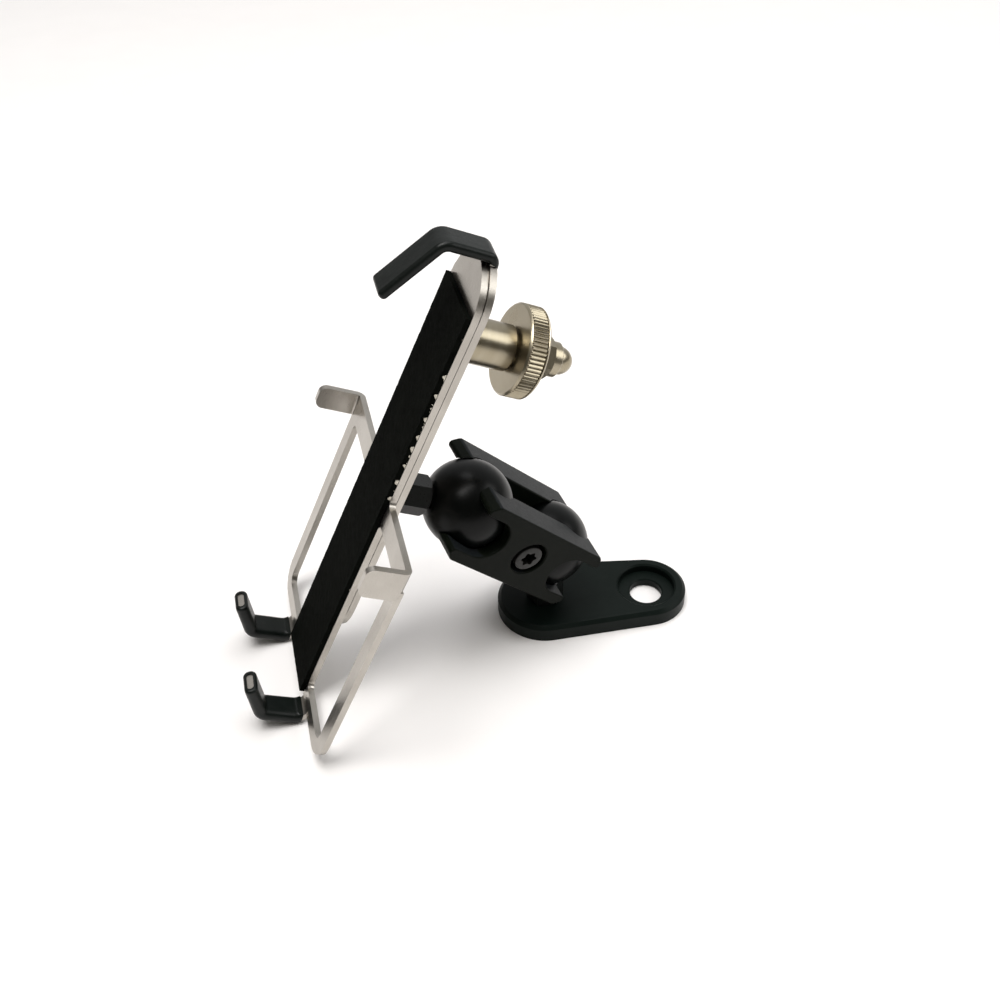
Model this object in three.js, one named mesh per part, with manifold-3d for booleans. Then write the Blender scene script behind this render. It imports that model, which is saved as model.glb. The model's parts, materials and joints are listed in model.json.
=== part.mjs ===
import * as THREE from 'three';
import { mergeVertices, toCreasedNormals } from 'three/addons/utils/BufferGeometryUtils.js';
import Module from 'manifold-3d';

const wasm = await Module();
wasm.setup();

// ---------------------------------------------------------------- driving dimensions, millimetres

const REST_GAP = 0.15;           // between pieces that rest on each other
const FIT_GAP = 0.3;             // between a shaft or cut piece and what surrounds it
const OVERLAP = 1;               // how far cutting tools run past a face
const DEG = Math.PI / 180;

// One inch balls
const BALL_R = 12.7;
const BALL_FLAT_R = 5;
const BALL_FLAT = Math.sqrt(BALL_R ** 2 - BALL_FLAT_R ** 2);
const BALL_SEGMENTS = 32;
const BALL_RINGS = 20;

// Ball stem: shoulder, hexagon, spigot
const BASE_REACH = 21.8;         // hexagon seat to ball centre, base stem
const FRONT_REACH = 23;          // the same, front stem
const STEM_HEX_FLATS = 10;
const STEM_SHOULDER_R = 4;
const STEM_SHOULDER_LENGTH = 2.1;
const STEM_NECK_LENGTH = 0.9;    // bare neck between the hexagon and the ball flat
const STEM_NECK_R = 3.2;
const STEM_SPIGOT_DEPTH = 1.6;   // how far the spigot passes the ball centre
const STEM_BORE_END = 9;
const STEM_CHAMFER = 1.2;
const STEM_TOP_R = 4;

// Countersunk screws that hold the stems, and the stud the thumb nut runs on
const STEM_SCREW_R = 2.5;
const STEM_SCREW_HEAD_R = 4.3;
const STEM_SCREW_KEY = 3;
const STUD_R = 3;
const STUD_HEAD_R = 4.8;
const HEAD_SINK = 0.1;
const KEY_DEPTH = 1.2;

// Base plate: tapered oblong, origin on its underside, midway between the two axes
const BASE_SPAN = 32;
const BASE_BALL_END_R = 14.6;
const BASE_BOLT_END_R = 12.3;
const BASE_THICKNESS = 5.6;
const BASE_CHAMFER = 1.1;
const BOLT_HOLE_R = 5;
const BOLT_SEAT_R = 8.8;
const BOLT_SEAT_DEPTH = 2.8;

// Double-socket arm
const ARM_SPAN = 37.2;           // ball centre to ball centre
const ARM_HALF_HEIGHT = 10.4;
const ARM_INNER = 4.9;            // inner face from the middle plane
const ARM_OUTER = 14.7;          // outer face from the middle plane
const ARM_SHOULDER = 5.3;        // straight edge past each ball centre
const ARM_TIP = 9.4;             // prong tip past each ball centre
const ARM_FORK_R = 6.5;
const ARM_EDGE = 0.7;
const SOCKET_R = BALL_R + FIT_GAP;

// Clamp screw and its nut
const CLAMP_R = 2.5;
const CLAMP_HEAD_R = 4.25;
const CLAMP_HEAD_LENGTH = 5;
const CLAMP_HEAD_EDGE = 0.5;
const CLAMP_KEY_R = 2.15;
const CLAMP_KEY_WAVE = 0.32;
const CLAMP_KEY_LOBES = 6;
const CLAMP_KEY_DEPTH = 2.8;
const CLAMP_POCKET_R = 5.5;
const CLAMP_POCKET_DEPTH = 5.3;
const CLAMP_NUT_FLATS = 8;
const CLAMP_NUT_LENGTH = 4;
const CLAMP_NUT_SINK = 0.6;

// Cradle: x backwards through the sheets, y to the far side, z up the strip
const SHEET = 1.8;
const STRIP_HALF = 12;
const FRONT_TOP = 139.6;
const STRIP_FOOT = -1.2;
const WING_TOP = 71.3;
const WING_OUTER = 38.1;
const WING_BAR = 5;
const WING_ARM_TOP = 6.6;
const WING_ARM_FOOT = 3.95;
const WING_FOOT_CORNER = 7.5;
const WING_LOOP_CORNER = 3;
const WING_FILLET = 1.8;
const LUG_BEND = 2.3;
const LUG_CORNER = 2.2;
const LUG_ROOT = 4;
const LUG_NEAR = { outer: 38.6, foot: 62.4, reach: 10 };
const LUG_FAR = { outer: 39.8, foot: 64.4, reach: 11.6 };

// Foam strip
const PAD_HALF = 11.65;
const PAD_TOP = 128.6;
const PAD_THICKNESS = 1.45;
const PAD_SHIFT = -0.4;

// Lower hooks
const HOOK_Y = 16.3;
const HOOK_WIDTH = 7;
const HOOK_START = 1.5;
const HOOK_LEVEL = -3.48;
const HOOK_CORNER_X = -12.5;
const HOOK_TIP = [-18.4, 6.4];
const HOOK_BENDS = [4, 2.6];
const HOOK_TIP_SINK = 0.4;
const HOOK_SLEEVE_THICKNESS = 3.8;
const HOOK_SLEEVE_WIDTH = 8.2;

// Slider and its top hook
const SLIDER_FRONT = SHEET + REST_GAP;
const SLIDER_BACK = SLIDER_FRONT + SHEET;
const SLIDER_TOP = 140.4;
const SLIDER_FOOT = 21.5;
const SLIDER_TRAVEL = 38;
const STUD_Z = 117.4;
const STEM_Z = 67.7;
const STEM_SLOT_R = STEM_SHOULDER_R + FIT_GAP;
const STUD_SLOT_R = STUD_R + FIT_GAP;
const TOP_HOOK_WIDTH = 8.3;
const TOP_HOOK_START = 136;
const TOP_HOOK_LEVEL = 141.3;
const TOP_HOOK_CORNER_X = -10.3;
const TOP_HOOK_TIP = [-19.7, 125.2];
const TOP_HOOK_BENDS = [1.9, 3.2];
const TOP_SLEEVE_ROOT = 137.5;
const TOP_SLEEVE_THICKNESS = 2.7;
const TOP_SLEEVE_WIDTH = 9.4;
const SLEEVE_GAP = 0.2;
const SLEEVE_EDGE = 0.5;
const BEND_STEPS = 5;

// Thumb nut and dome nut, along the stud
const NUT_SEAT = SLIDER_BACK + REST_GAP;
const COLLAR_R = 6;
const COLLAR_END = 17.3;
const COLLAR_ROUND = 0.35;
const COLLAR_ROUND_MIDDLE = 0.1;
const NECK_R = 4.6;
const WHEEL_FRONT = 17.9;
const WHEEL_BACK = 23.7;
const WHEEL_R = 12;
const WHEEL_CHAMFER = 0.5;
const KNURL_START = 18.6;
const KNURL_END = 23;
const KNURL_TEETH = 66;
const KNURL_DEPTH = 0.45;
const DOME_SEAT = WHEEL_BACK + REST_GAP;
const DOME_HEX_FLATS = 10;
const DOME_HEX_END = 29;
const DOME_HEX_CHAMFER = 0.5;
const DOME_RING_END = 31.3;
const DOME_RING_R = 4.6;
const DOME_R = 3.8;
const DOME_END = 35.7;
const DOME_BORE_END = 32;
const STUD_END = 31.5;

// Pose at rest: arm and cradle angles, degrees
const ARM_YAW = 24;
const ARM_PITCH = 46.5;
const ARM_ROLL = 9.4;
const CRADLE_YAW = 7;
const CRADLE_LEAN = 24.6;

const ROUND = 32;                // segments of turned pieces
const SMALL_ROUND = 20;
const ARC_STEPS = 6;
const CREASE = 35 * DEG;

// ---------------------------------------------------------------- materials

function metal(color, roughness, metalness = 1) {
  return new THREE.MeshStandardMaterial({ color, roughness, metalness });
}

const STAINLESS = metal(0xb9b3a8, 0.34);
const NICKEL = metal(0xc9c6bf, 0.25);
const ZINC = metal(0x9a9c9e, 0.4);
const BLACK_STEEL = metal(0x1c1d1c, 0.42, 0.6);
const BLACK_ALUMINIUM = metal(0x3a3b38, 0.6, 0.5);
const FOAM = metal(0x0b0b0c, 0.95, 0);
const VINYL = metal(0x0d0f0d, 0.45, 0);

// ---------------------------------------------------------------- solids

const ALONG_X = new THREE.Matrix4().makeRotationZ(-Math.PI / 2);
const ALONG_Y = new THREE.Matrix4();
const ALONG_Z = new THREE.Matrix4().makeRotationX(Math.PI / 2);
const AXIS_X = new THREE.Vector3(1, 0, 0);
const AXIS_Y = new THREE.Vector3(0, 1, 0);
const AXIS_Z = new THREE.Vector3(0, 0, 1);
const FLAT_PLANE = new THREE.Matrix4();
const SHEET_PLANE = new THREE.Matrix4().makeBasis(AXIS_Y, AXIS_Z, AXIS_X);
const SIDE_PLANE = new THREE.Matrix4().makeBasis(AXIS_X, AXIS_Z, AXIS_Y.clone().negate());

function solid(geometry) {
  const bare = geometry.clone();
  bare.deleteAttribute('normal');
  bare.deleteAttribute('uv');
  const merged = mergeVertices(bare, 1e-5);
  return new wasm.Manifold(new wasm.Mesh({
    numProp: 3,
    vertProperties: new Float32Array(merged.attributes.position.array),
    triVerts: new Uint32Array(merged.index.array),
  }));
}

function piece(name, manifold, material) {
  const mesh = manifold.getMesh();
  const geometry = new THREE.BufferGeometry();
  geometry.setAttribute('position', new THREE.BufferAttribute(new Float32Array(mesh.vertProperties), 3));
  geometry.setIndex(new THREE.BufferAttribute(new Uint32Array(mesh.triVerts), 1));
  const part = new THREE.Mesh(toCreasedNormals(geometry, CREASE), material);
  part.name = name;
  return part;
}

// Turned body: profile of [radius, station] pairs, closed onto the axis at both ends.
function turned(profile, direction, segments = ROUND) {
  const points = profile.map(([radius, station]) => new THREE.Vector2(radius, station));
  const geometry = new THREE.LatheGeometry(points, segments);
  return solid(geometry.applyMatrix4(direction));
}

function rod(radius, start, end, direction, segments = SMALL_ROUND) {
  return turned([[0, start], [radius, start], [radius, end], [0, end]], direction, segments);
}

function hexagon(flats, start, end, direction) {
  return rod(flats / Math.sqrt(3), start, end, direction, 6);
}

function extruded(shape, start, end, plane, edge = 0) {
  const geometry = new THREE.ExtrudeGeometry(shape, {
    depth: end - start - 2 * edge,
    bevelEnabled: edge > 0,
    bevelThickness: edge,
    bevelSize: edge,
    bevelOffset: -edge,
    bevelSegments: 1,
    curveSegments: ARC_STEPS,
  });
  geometry.translate(0, 0, start + edge);
  return solid(geometry.applyMatrix4(plane));
}

function moved(manifold, x, y, z) {
  return manifold.translate([x, y, z]);
}

function rectangle(x0, y0, x1, y1) {
  const shape = new THREE.Shape();
  shape.moveTo(x0, y0);
  shape.lineTo(x1, y0);
  shape.lineTo(x1, y1);
  shape.lineTo(x0, y1);
  shape.closePath();
  return shape;
}

function roundedRectangle(x0, y0, x1, y1, corners) {
  const [a, b, c, d] = corners;
  const shape = new THREE.Shape();
  shape.moveTo(x0 + a, y0);
  shape.lineTo(x1 - b, y0);
  shape.absarc(x1 - b, y0 + b, b, -Math.PI / 2, 0, false);
  shape.lineTo(x1, y1 - c);
  shape.absarc(x1 - c, y1 - c, c, 0, Math.PI / 2, false);
  shape.lineTo(x0 + d, y1);
  shape.absarc(x0 + d, y1 - d, d, Math.PI / 2, Math.PI, false);
  shape.lineTo(x0, y0 + a);
  shape.absarc(x0 + a, y0 + a, a, Math.PI, 1.5 * Math.PI, false);
  return shape;
}

// Straight-sided slot or strip with round ends, drawn upright about x = 0.
function stadium(radius, footCentre, topCentre) {
  const shape = new THREE.Shape();
  shape.absarc(0, topCentre, radius, 0, Math.PI, false);
  shape.lineTo(-radius, footCentre);
  shape.absarc(0, footCentre, radius, Math.PI, 2 * Math.PI, false);
  shape.closePath();
  return shape;
}

// ---------------------------------------------------------------- balls and stems

// Centred on the origin, with the flat and the spigot bore on its minus side.
function ball(direction) {
  const sphere = solid(new THREE.SphereGeometry(BALL_R, BALL_SEGMENTS, BALL_RINGS).applyMatrix4(direction));
  const flat = rod(BALL_R, -BALL_R - OVERLAP, -BALL_FLAT, direction);
  const bore = rod(STEM_NECK_R + FIT_GAP, -BALL_R, STEM_SPIGOT_DEPTH + FIT_GAP, direction);
  return sphere.subtract(flat).subtract(bore);
}

// Seated at the origin; reach is the distance from the seat to the ball centre.
function stem(reach, direction) {
  const corner = STEM_HEX_FLATS / Math.sqrt(3);
  const hexEnd = reach - BALL_FLAT - STEM_NECK_LENGTH;
  const hex = hexagon(STEM_HEX_FLATS, 0, hexEnd, direction);
  const envelope = turned([
    [0, 0],
    [corner + OVERLAP, 0],
    [corner + OVERLAP, hexEnd - STEM_CHAMFER - OVERLAP],
    [STEM_TOP_R, hexEnd],
    [0, hexEnd],
  ], direction);
  const core = turned([
    [0, -STEM_SHOULDER_LENGTH],
    [STEM_SHOULDER_R, -STEM_SHOULDER_LENGTH],
    [STEM_SHOULDER_R, OVERLAP],
    [STEM_NECK_R, OVERLAP],
    [STEM_NECK_R, reach + STEM_SPIGOT_DEPTH],
    [0, reach + STEM_SPIGOT_DEPTH],
  ], direction, SMALL_ROUND);
  const bore = rod(STEM_SCREW_R + FIT_GAP, -STEM_SHOULDER_LENGTH - OVERLAP, STEM_BORE_END, direction);
  return hex.intersect(envelope).add(core).subtract(bore);
}

// Countersunk screw or stud: head face at station 0, shank towards plus.
function countersunk(headRadius, radius, end, key, direction) {
  const body = turned([
    [0, 0],
    [headRadius, 0],
    [radius, headRadius - radius],
    [radius, end],
    [0, end],
  ], direction, SMALL_ROUND);
  return body.subtract(hexagon(key, -OVERLAP, KEY_DEPTH, direction));
}

function countersink(headRadius, radius, end, direction) {
  const wide = headRadius + FIT_GAP;
  const narrow = radius + FIT_GAP;
  return turned([
    [0, -OVERLAP],
    [wide, -OVERLAP],
    [wide, 0],
    [narrow, wide - narrow],
    [narrow, end],
    [0, end],
  ], direction, SMALL_ROUND);
}

// ---------------------------------------------------------------- base

function baseOutline() {
  const half = BASE_SPAN / 2;
  const tangent = Math.acos((BASE_BALL_END_R - BASE_BOLT_END_R) / BASE_SPAN);
  const shape = new THREE.Shape();
  shape.absarc(-half, 0, BASE_BALL_END_R, tangent, 2 * Math.PI - tangent, false);
  shape.absarc(half, 0, BASE_BOLT_END_R, -tangent, tangent, false);
  shape.closePath();
  return shape;
}

function basePlate() {
  const half = BASE_SPAN / 2;
  const bevelled = new THREE.ExtrudeGeometry(baseOutline(), {
    depth: BASE_THICKNESS,
    bevelEnabled: true,
    bevelThickness: BASE_CHAMFER,
    bevelSize: BASE_CHAMFER,
    bevelOffset: -BASE_CHAMFER,
    bevelSegments: 1,
    curveSegments: 2 * ARC_STEPS,
  });
  bevelled.translate(0, 0, -BASE_CHAMFER);
  const block = rectangle(-BASE_SPAN, -BASE_SPAN, BASE_SPAN, BASE_SPAN);
  const slab = extruded(block, 0, BASE_THICKNESS, FLAT_PLANE);
  const above = BASE_THICKNESS + OVERLAP;
  const boltHole = rod(BOLT_HOLE_R, -OVERLAP, above, ALONG_Z, ROUND);
  const boltSeat = rod(BOLT_SEAT_R, BASE_THICKNESS - BOLT_SEAT_DEPTH, above, ALONG_Z, ROUND);
  const recess = rod(STEM_SLOT_R, BASE_THICKNESS - STEM_SHOULDER_LENGTH - FIT_GAP, above, ALONG_Z);
  const sink = countersink(STEM_SCREW_HEAD_R, STEM_SCREW_R, BASE_THICKNESS, ALONG_Z);
  return solid(bevelled)
    .intersect(slab)
    .subtract(moved(boltHole.add(boltSeat), half, 0, 0))
    .subtract(moved(recess.add(sink), -half, 0, 0));
}

function buildBase() {
  const group = new THREE.Group();
  const foot = new THREE.Group();
  foot.position.set(-BASE_SPAN / 2, 0, 0);
  const stemPiece = moved(stem(BASE_REACH, ALONG_Z), 0, 0, BASE_THICKNESS + REST_GAP);
  const screw = countersunk(STEM_SCREW_HEAD_R, STEM_SCREW_R, BASE_THICKNESS + STEM_BORE_END - OVERLAP,
    STEM_SCREW_KEY, ALONG_Z);
  const ballPiece = moved(ball(ALONG_Z), 0, 0, BASE_THICKNESS + REST_GAP + BASE_REACH);
  foot.add(piece('base_stem', stemPiece, BLACK_STEEL));
  foot.add(piece('base_stem_screw', moved(screw, 0, 0, HEAD_SINK), ZINC));
  foot.add(piece('base_ball', ballPiece, BLACK_STEEL));
  group.add(piece('base_plate', basePlate(), BLACK_STEEL), foot);
  return group;
}

// ---------------------------------------------------------------- arm
// x from the front ball to the rear ball, y to the far side, z up; origin at the front ball.

function armOutline() {
  const shape = new THREE.Shape();
  const tipZ = ARM_FORK_R;
  shape.moveTo(-ARM_SHOULDER, ARM_HALF_HEIGHT);
  shape.lineTo(-ARM_TIP, tipZ);
  shape.lineTo(0, tipZ);
  shape.absarc(0, 0, ARM_FORK_R, Math.PI / 2, -Math.PI / 2, true);
  shape.lineTo(-ARM_TIP, -tipZ);
  shape.lineTo(-ARM_SHOULDER, -ARM_HALF_HEIGHT);
  shape.lineTo(ARM_SPAN + ARM_SHOULDER, -ARM_HALF_HEIGHT);
  shape.lineTo(ARM_SPAN + ARM_TIP, -tipZ);
  shape.lineTo(ARM_SPAN, -tipZ);
  shape.absarc(ARM_SPAN, 0, ARM_FORK_R, -Math.PI / 2, Math.PI / 2, true);
  shape.lineTo(ARM_SPAN + ARM_TIP, tipZ);
  shape.lineTo(ARM_SPAN + ARM_SHOULDER, ARM_HALF_HEIGHT);
  shape.closePath();
  return shape;
}

// One half on the far side of the middle plane; the near half is its mirror image.
function armHalf() {
  const blank = extruded(armOutline(), -ARM_OUTER, -ARM_INNER, SIDE_PLANE, ARM_EDGE);
  const socket = solid(new THREE.SphereGeometry(SOCKET_R, BALL_SEGMENTS, BALL_RINGS));
  const shank = moved(rod(CLAMP_R + FIT_GAP, 0, ARM_OUTER + OVERLAP, ALONG_Y), ARM_SPAN / 2, 0, 0);
  return blank
    .subtract(socket)
    .subtract(moved(socket, ARM_SPAN, 0, 0))
    .subtract(shank);
}

function nearHalf() {
  const pocket = rod(CLAMP_POCKET_R, ARM_OUTER - CLAMP_POCKET_DEPTH, ARM_OUTER + OVERLAP, ALONG_Y, ROUND);
  return armHalf().subtract(moved(pocket, ARM_SPAN / 2, 0, 0)).mirror([0, 1, 0]);
}

function farHalf() {
  const floor = ARM_OUTER - CLAMP_NUT_SINK - CLAMP_NUT_LENGTH - REST_GAP;
  const pocket = hexagon(CLAMP_NUT_FLATS + 2 * FIT_GAP, floor, ARM_OUTER + OVERLAP, ALONG_Y);
  return armHalf().subtract(moved(pocket, ARM_SPAN / 2, 0, 0));
}

function lobedKey() {
  const steps = CLAMP_KEY_LOBES * ARC_STEPS;
  const points = [];
  for (let i = 0; i < steps; i += 1) {
    const angle = 2 * Math.PI * i / steps;
    const radius = CLAMP_KEY_R + CLAMP_KEY_WAVE * Math.cos(CLAMP_KEY_LOBES * angle);
    points.push(new THREE.Vector2(radius * Math.cos(angle), radius * Math.sin(angle)));
  }
  const outside = ARM_OUTER - REST_GAP;
  return extruded(new THREE.Shape(points), outside - CLAMP_KEY_DEPTH, outside + OVERLAP, SIDE_PLANE);
}

function clampScrew() {
  const headFace = -ARM_OUTER + REST_GAP;
  const headFoot = headFace + CLAMP_HEAD_LENGTH;
  const body = turned([
    [0, headFace],
    [CLAMP_HEAD_R - CLAMP_HEAD_EDGE, headFace],
    [CLAMP_HEAD_R, headFace + CLAMP_HEAD_EDGE],
    [CLAMP_HEAD_R, headFoot],
    [CLAMP_R, headFoot],
    [CLAMP_R, ARM_OUTER - CLAMP_NUT_SINK],
    [0, ARM_OUTER - CLAMP_NUT_SINK],
  ], ALONG_Y);
  return body.subtract(lobedKey());
}

function clampNut() {
  const end = ARM_OUTER - CLAMP_NUT_SINK;
  const body = hexagon(CLAMP_NUT_FLATS, end - CLAMP_NUT_LENGTH, end, ALONG_Y);
  return body.subtract(rod(CLAMP_R + FIT_GAP, 0, ARM_OUTER + OVERLAP, ALONG_Y));
}

function buildArm() {
  const group = new THREE.Group();
  const middle = new THREE.Group();
  middle.position.set(ARM_SPAN / 2, 0, 0);
  middle.add(piece('clamp_screw', clampScrew(), BLACK_STEEL));
  middle.add(piece('clamp_nut', clampNut(), ZINC));
  group.add(piece('arm_half_near', nearHalf(), BLACK_ALUMINIUM));
  group.add(piece('arm_half_far', farHalf(), BLACK_ALUMINIUM));
  group.add(middle);
  return group;
}

// ---------------------------------------------------------------- hooks

// Side view of a bent strip in the x-z plane: straight runs joined by round bends.
function bentStrip(route, bends, thickness) {
  const half = thickness / 2;
  const points = route.map(([x, z]) => new THREE.Vector2(x, z));
  const normals = points.slice(1).map((point, i) => {
    const run = point.clone().sub(points[i]).normalize();
    return new THREE.Vector2(-run.y, run.x);
  });
  const left = [points[0].clone().addScaledVector(normals[0], half)];
  const right = [points[0].clone().addScaledVector(normals[0], -half)];
  for (let i = 1; i < normals.length; i += 1) {
    const bend = bends[i - 1];
    const before = normals[i - 1];
    const after = normals[i];
    const side = Math.sign(before.cross(after));
    const sweep = Math.acos(before.dot(after));
    const toCentre = before.clone().add(after).setLength(side * bend / Math.cos(sweep / 2));
    const centre = points[i].clone().add(toCentre);
    const start = before.clone().multiplyScalar(-side).angle();
    for (let step = 0; step <= BEND_STEPS; step += 1) {
      const angle = start + side * sweep * step / BEND_STEPS;
      const spoke = new THREE.Vector2(Math.cos(angle), Math.sin(angle));
      left.push(centre.clone().addScaledVector(spoke, bend - side * half));
      right.push(centre.clone().addScaledVector(spoke, bend + side * half));
    }
  }
  left.push(points.at(-1).clone().addScaledVector(normals.at(-1), half));
  right.push(points.at(-1).clone().addScaledVector(normals.at(-1), -half));
  return new THREE.Shape([...left, ...right.reverse()]);
}

function bent(route, bends, thickness, width, edge = 0) {
  return extruded(bentStrip(route, bends, thickness), -width / 2, width / 2, SIDE_PLANE, edge);
}

function extended(points, length) {
  const [x0, z0] = points.at(-2);
  const [x1, z1] = points.at(-1);
  const scale = length / Math.hypot(x1 - x0, z1 - z0);
  return [...points.slice(0, -1), [x1 + (x1 - x0) * scale, z1 + (z1 - z0) * scale]];
}

const LOWER_HOOK = [
  [SHEET / 2, HOOK_START],
  [SHEET / 2, HOOK_LEVEL],
  [HOOK_CORNER_X, HOOK_LEVEL],
  HOOK_TIP,
];
const TOP_HOOK_X = SLIDER_FRONT + SHEET / 2;
const TOP_HOOK_BEYOND = [[TOP_HOOK_X, TOP_HOOK_LEVEL], [TOP_HOOK_CORNER_X, TOP_HOOK_LEVEL], TOP_HOOK_TIP];

function lowerTang() {
  return bent(extended(LOWER_HOOK, -HOOK_TIP_SINK), HOOK_BENDS, SHEET, HOOK_WIDTH);
}

function lowerSleeve() {
  const cover = bent(LOWER_HOOK, HOOK_BENDS, HOOK_SLEEVE_THICKNESS, HOOK_SLEEVE_WIDTH, SLEEVE_EDGE);
  const through = extended(LOWER_HOOK, OVERLAP);
  const pocket = bent(through, HOOK_BENDS, SHEET + 2 * SLEEVE_GAP, HOOK_WIDTH + 2 * SLEEVE_GAP);
  const side = HOOK_SLEEVE_WIDTH;
  const plate = rectangle(-side, STRIP_FOOT - SLEEVE_GAP, side, side);
  const plateRoom = extruded(plate, -SHEET, 2 * SHEET, SHEET_PLANE);
  return cover.subtract(pocket).subtract(plateRoom);
}

function topTang() {
  return bent([[TOP_HOOK_X, TOP_HOOK_START], ...TOP_HOOK_BEYOND], TOP_HOOK_BENDS, SHEET, TOP_HOOK_WIDTH);
}

function topSleeve() {
  const outside = extended([[TOP_HOOK_X, TOP_SLEEVE_ROOT], ...TOP_HOOK_BEYOND], OVERLAP);
  const inside = extended([[TOP_HOOK_X, TOP_HOOK_START], ...TOP_HOOK_BEYOND], SLEEVE_GAP);
  const cover = bent(outside, TOP_HOOK_BENDS, TOP_SLEEVE_THICKNESS, TOP_SLEEVE_WIDTH, SLEEVE_EDGE);
  const pocket = bent(inside, TOP_HOOK_BENDS, SHEET + 2 * SLEEVE_GAP, TOP_HOOK_WIDTH + 2 * SLEEVE_GAP);
  const strip = stadium(STRIP_HALF + SLEEVE_GAP, SLIDER_FOOT + STRIP_HALF, SLIDER_TOP - STRIP_HALF);
  const stripRoom = extruded(strip, SLIDER_FRONT - SLEEVE_GAP, SLIDER_BACK + SLEEVE_GAP, SHEET_PLANE);
  const frontRoom = extruded(rectangle(-STRIP_HALF, 0, STRIP_HALF, FRONT_TOP + FIT_GAP),
    -SHEET, SLIDER_FRONT + OVERLAP, SHEET_PLANE);
  return cover.subtract(pocket).subtract(stripRoom).subtract(frontRoom);
}

// ---------------------------------------------------------------- sheet plates

function mirrored(points) {
  return points.map(([y, z]) => [-y, z]).reverse();
}

function arc(y, z, radius, start, end) {
  const steps = ARC_STEPS;
  const points = [];
  for (let i = 0; i <= steps; i += 1) {
    const angle = start + (end - start) * i / steps;
    points.push([y + radius * Math.cos(angle), z + radius * Math.sin(angle)]);
  }
  return points;
}

function frontOutline() {
  const quarter = Math.PI / 2;
  const far = [
    [0, STRIP_FOOT],
    ...arc(WING_OUTER - WING_FOOT_CORNER, STRIP_FOOT + WING_FOOT_CORNER, WING_FOOT_CORNER, -quarter, 0),
    [WING_OUTER, WING_TOP - WING_ARM_TOP],
    [WING_OUTER - LUG_ROOT, WING_TOP - WING_ARM_TOP],
    [WING_OUTER - LUG_ROOT, WING_TOP],
    ...arc(STRIP_HALF + WING_FILLET, WING_TOP + WING_FILLET, WING_FILLET, -quarter, -2 * quarter),
    ...arc(0, FRONT_TOP - STRIP_HALF, STRIP_HALF, 0, quarter),
  ];
  const points = [...far, ...mirrored(far.slice(1, -1))];
  return new THREE.Shape(points.map(([y, z]) => new THREE.Vector2(y, z)));
}

function wingLoop() {
  const corners = [WING_FILLET, WING_LOOP_CORNER, WING_FILLET, WING_FILLET];
  const foot = STRIP_FOOT + WING_ARM_FOOT;
  return roundedRectangle(STRIP_HALF, foot, WING_OUTER - WING_BAR, WING_TOP - WING_ARM_TOP, corners);
}

// Lug bent forward from the outer end of the far wing; the near one is mirrored.
function lug({ outer, foot, reach }) {
  const inner = outer - SHEET;
  const root = WING_OUTER - LUG_ROOT - OVERLAP;
  const section = new THREE.Shape();
  section.moveTo(SHEET, root);
  section.lineTo(SHEET, outer - LUG_BEND);
  section.absarc(SHEET - LUG_BEND, outer - LUG_BEND, LUG_BEND, 0, Math.PI / 2, false);
  section.lineTo(-reach, outer);
  section.lineTo(-reach, inner);
  section.lineTo(SHEET - LUG_BEND, inner);
  section.absarc(SHEET - LUG_BEND, outer - LUG_BEND, LUG_BEND - SHEET, Math.PI / 2, 0, true);
  section.lineTo(0, root);
  section.closePath();
  const sheet = extruded(section, Math.min(foot, WING_TOP - WING_ARM_TOP), WING_TOP, FLAT_PLANE);
  const face = roundedRectangle(-reach, foot, SHEET + OVERLAP, WING_TOP, [LUG_CORNER, 0, 0, LUG_CORNER]);
  return sheet.intersect(extruded(face, -outer - OVERLAP, OVERLAP, SIDE_PLANE));
}

function frontPlate() {
  const blank = extruded(frontOutline(), 0, SHEET, SHEET_PLANE);
  const loop = extruded(wingLoop(), -OVERLAP, SHEET + OVERLAP, SHEET_PLANE);
  const tang = moved(lowerTang(), 0, HOOK_Y, 0);
  const stemSink = countersink(STEM_SCREW_HEAD_R, STEM_SCREW_R, SHEET + OVERLAP, ALONG_X);
  const studSink = countersink(STUD_HEAD_R, STUD_R, SHEET + OVERLAP, ALONG_X);
  return blank
    .subtract(loop)
    .subtract(loop.mirror([0, 1, 0]))
    .add(lug(LUG_FAR))
    .add(lug(LUG_NEAR).mirror([0, 1, 0]))
    .add(tang)
    .add(tang.mirror([0, 1, 0]))
    .subtract(moved(stemSink, 0, 0, STEM_Z))
    .subtract(moved(studSink, 0, 0, STUD_Z));
}

function foamPad() {
  const shape = rectangle(PAD_SHIFT - PAD_HALF, 0, PAD_SHIFT + PAD_HALF, PAD_TOP);
  return extruded(shape, -PAD_THICKNESS - REST_GAP, -REST_GAP, SHEET_PLANE);
}

function sliderPlate() {
  const outline = stadium(STRIP_HALF, SLIDER_FOOT + STRIP_HALF, SLIDER_TOP - STRIP_HALF);
  outline.holes.push(stadium(STEM_SLOT_R, STEM_Z - SLIDER_TRAVEL, STEM_Z));
  outline.holes.push(stadium(STUD_SLOT_R, STUD_Z - SLIDER_TRAVEL, STUD_Z));
  return extruded(outline, SLIDER_FRONT, SLIDER_BACK, SHEET_PLANE).add(topTang());
}

// ---------------------------------------------------------------- thumb nut and dome nut

function knurl() {
  const points = [];
  for (let tooth = 0; tooth < KNURL_TEETH; tooth += 1) {
    for (const [step, radius] of [[0, WHEEL_R], [0.5, WHEEL_R - KNURL_DEPTH]]) {
      const angle = 2 * Math.PI * (tooth + step) / KNURL_TEETH;
      points.push(new THREE.Vector2(radius * Math.cos(angle), radius * Math.sin(angle)));
    }
  }
  return extruded(new THREE.Shape(points), KNURL_START, KNURL_END, SHEET_PLANE);
}

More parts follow.
